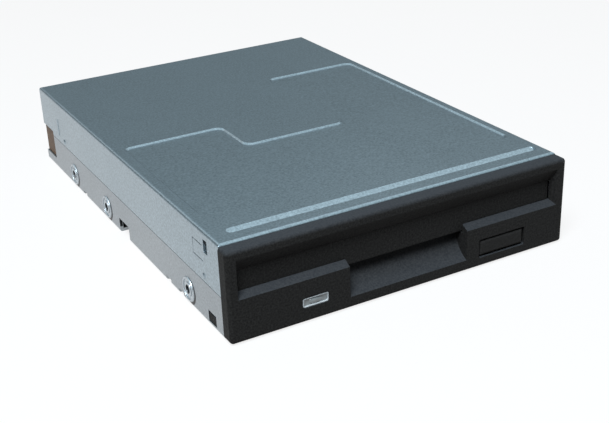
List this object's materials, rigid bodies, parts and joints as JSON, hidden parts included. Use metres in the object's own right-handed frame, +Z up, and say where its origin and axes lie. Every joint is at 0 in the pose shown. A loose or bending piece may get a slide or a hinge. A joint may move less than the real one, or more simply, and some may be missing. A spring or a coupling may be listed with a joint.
{
  "type": "floppy disk drive",
  "caption": "Slim internal 3.5 inch floppy disk drive: pressed zinc-coated steel case, black moulded front with slot, finger scoop, lamp and eject button.",
  "frame": {"origin": "under the middle of the drive, on the plane of its underside", "axes": "+X to the right as seen from the front, +Y towards the connectors at the rear, +Z up"},
  "size_m": [0.1016, 0.146, 0.0254],
  "materials": {
    "chassis_steel": "galvanised, satin",
    "cover_steel": "galvanised, satin",
    "bezel_plastic": "fine texture",
    "door_plastic": "fine texture",
    "button_plastic": "fine texture",
    "lens_plastic": "frosted",
    "lamp_resin": "clear resin",
    "spring_steel": "wire",
    "mechanism_steel": "zinc plated",
    "bright_steel": "ground",
    "screw_steel": "zinc plated",
    "board_laminate": "green lacquer",
    "bearing_brass": "sintered",
    "white_plastic": "moulded",
    "core_steel": "laminated",
    "coil_copper": "enamelled wire",
    "rotor_steel": "zinc plated",
    "magnet_ferrite": "bonded ferrite",
    "hub_plastic": "low friction",
    "carriage_plastic": "filled",
    "head_ceramic": "polished ceramic",
    "motor_steel": "zinc plated",
    "terminal_amber": "amber laminate",
    "connector_plastic": "moulded",
    "connector_white": "moulded",
    "contact_brass": "plated",
    "chip_plastic": "epoxy",
    "capacitor_metal": "plain can",
    "resonator_metal": "plain can",
    "switch_plastic": "moulded",
    "plunger_plastic": "moulded",
    "ribbon_plastic": "flat film"
  },
  "bodies": {
    "case": {"chassis": "chassis_steel", "top_cover": "cover_steel", "front_bezel": "bezel_plastic", "door_spring": "spring_steel", "lamp_lens": "lens_plastic", "activity_lamp": "lamp_resin", "motor_board": "board_laminate", "spindle_bearing": "bearing_brass", "stator_core": "core_steel", "stator_coils": "coil_copper", "datum_posts": "bright_steel", "guide_rods": "bright_steel", "rod_clamps": "white_plastic", "screw_end_bearing": "white_plastic", "stepper_motor": "motor_steel", "stepper_bracket": "chassis_steel", "stepper_terminal": "terminal_amber", "main_board": "board_laminate", "interface_connector": "connector_plastic", "interface_pins": "contact_brass", "power_connector": "connector_white", "power_pins": "contact_brass", "board_chips": "chip_plastic", "capacitors": "capacitor_metal", "resonator": "resonator_metal", "track_zero_sensor": "chip_plastic", "switch_bodies": "switch_plastic", "ribbon_sockets": "connector_white", "board_ribbon": "ribbon_plastic", "board_screws": "screw_steel", "bracket_screws": "screw_steel", "eject_springs": "spring_steel"},
    "door": {"dust_door": "door_plastic"},
    "eject_slide": {"slide_plate": "mechanism_steel", "eject_button": "button_plastic"},
    "holder": {"disk_holder": "mechanism_steel", "holder_pins": "bright_steel", "lever_pivot_stud": "bright_steel", "lever_spring": "spring_steel"},
    "lever": {"shutter_lever": "mechanism_steel"},
    "carriage": {"head_carriage": "carriage_plastic", "lower_head": "head_ceramic", "follower_needle": "bright_steel", "arm_pin": "bright_steel"},
    "head_arm": {"upper_arm": "carriage_plastic", "upper_head": "head_ceramic", "arm_spring": "spring_steel"},
    "screw": {"lead_screw": "bright_steel"},
    "rotor": {"rotor_cup": "rotor_steel", "rotor_magnet": "magnet_ferrite", "hub_disc": "hub_plastic", "drive_pin": "bright_steel", "spindle_shaft": "bright_steel"},
    "density_button": {"density_plunger": "plunger_plastic"},
    "protect_button": {"protect_plunger": "plunger_plastic"},
    "disk_in_button": {"disk_in_plunger": "plunger_plastic"}
  },
  "joints": [
    {"name": "dust_door_hinge", "type": "hinge", "parent": "case", "child": "door", "pos_m": [0, -0.0699, 0.0196], "axis": [1, 0, 0], "range_deg": [0, 86], "stiffness_Nm_per_rad": 0.0005},
    {"name": "eject_travel", "type": "slide", "parent": "case", "child": "eject_slide", "axis": [0, -1, 0], "range_m": [0, 0.0065], "deforming": ["eject_springs"]},
    {"name": "disk_lift", "type": "slide", "parent": "case", "child": "holder", "axis": [0, 0, -1], "range_m": [0, 0.003]},
    {"name": "shutter_swing", "type": "hinge", "parent": "holder", "child": "lever", "pos_m": [0.0348, -0.0043, 0.0196], "axis": [0, 0, -1], "range_deg": [0, 88], "stiffness_Nm_per_rad": 0.003, "deforming": ["lever_spring"]},
    {"name": "head_travel", "type": "slide", "parent": "case", "child": "carriage", "axis": [0, -1, 0], "range_m": [0, 0.01481]},
    {"name": "screw_turn", "type": "hinge", "parent": "case", "child": "screw", "pos_m": [-0.034, 0.042, 0.0102], "axis": [0, 1, 0], "range_deg": [0, 1423]},
    {"name": "arm_drop", "type": "hinge", "parent": "carriage", "child": "head_arm", "pos_m": [0, 0.046, 0.0171], "axis": [1, 0, 0], "range_deg": [0, 11]},
    {"name": "spindle_turn", "type": "hinge", "parent": "case", "child": "rotor", "pos_m": [0, -0.021, 0.008], "axis": [0, 0, 1], "continuous": true},
    {"name": "density_press", "type": "slide", "parent": "case", "child": "density_button", "axis": [0, 0, -1], "range_m": [0, 0.0012], "stiffness_N_per_m": 50},
    {"name": "protect_press", "type": "slide", "parent": "case", "child": "protect_button", "axis": [0, 0, -1], "range_m": [0, 0.0012], "stiffness_N_per_m": 50},
    {"name": "disk_in_press", "type": "slide", "parent": "case", "child": "disk_in_button", "axis": [0, 0, -1], "range_m": [0, 0.0012], "stiffness_N_per_m": 50}
  ],
  "couplings": [
    {"joint": "disk_lift", "follows": "eject_travel", "ratio": 0.46154},
    {"joint": "arm_drop", "follows": "eject_travel", "rad_per_m": 29.536},
    {"joint": "screw_turn", "follows": "head_travel", "rad_per_m": 1675.5}
  ]
}
